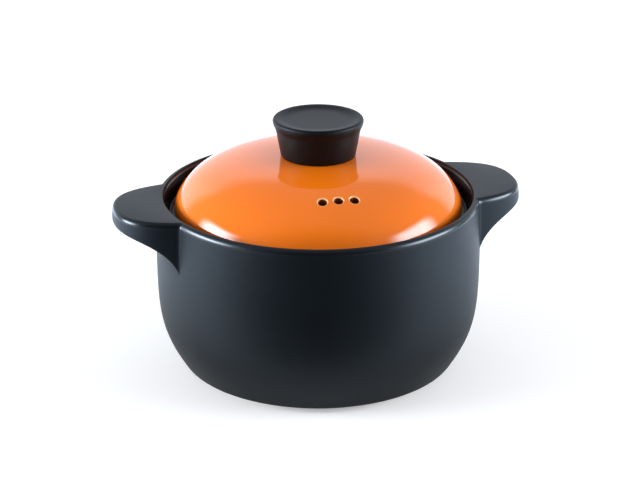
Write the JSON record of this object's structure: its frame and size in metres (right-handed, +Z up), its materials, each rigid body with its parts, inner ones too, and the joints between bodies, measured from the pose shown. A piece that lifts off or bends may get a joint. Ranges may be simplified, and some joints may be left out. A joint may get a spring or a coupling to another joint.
{
  "type": "ceramic cooking pot",
  "caption": "Round ceramic stovetop pot with lug handles, an inner shelf that carries a domed, vented and glazed lid, and a screwed-on knob.",
  "frame": {"origin": "on the ground under the middle of the pot, in the lower face of its standing ring", "axes": "+X along the two lug handles, +Z up, -Y on the side of the lid's steam vents"},
  "size_m": [0.2764, 0.218, 0.1713],
  "materials": {
    "matt_graphite_stoneware": "matt",
    "orange_glaze": "gloss",
    "black_phenolic": "satin",
    "brass": "turned",
    "clear_silicone": "matt",
    "stainless_steel": "plain"
  },
  "bodies": {
    "pot": {"pot_body": "matt_graphite_stoneware"},
    "lid": {"lid": "orange_glaze", "knob": "black_phenolic", "knob_insert": "brass", "knob_gasket": "clear_silicone", "screw_gasket": "clear_silicone", "screw_washer": "stainless_steel", "knob_screw": "stainless_steel"}
  },
  "joints": [
    {"name": "lid_lift", "type": "slide", "parent": "pot", "child": "lid", "axis": [0, 0, 1], "range_m": [0, 0.15]}
  ]
}
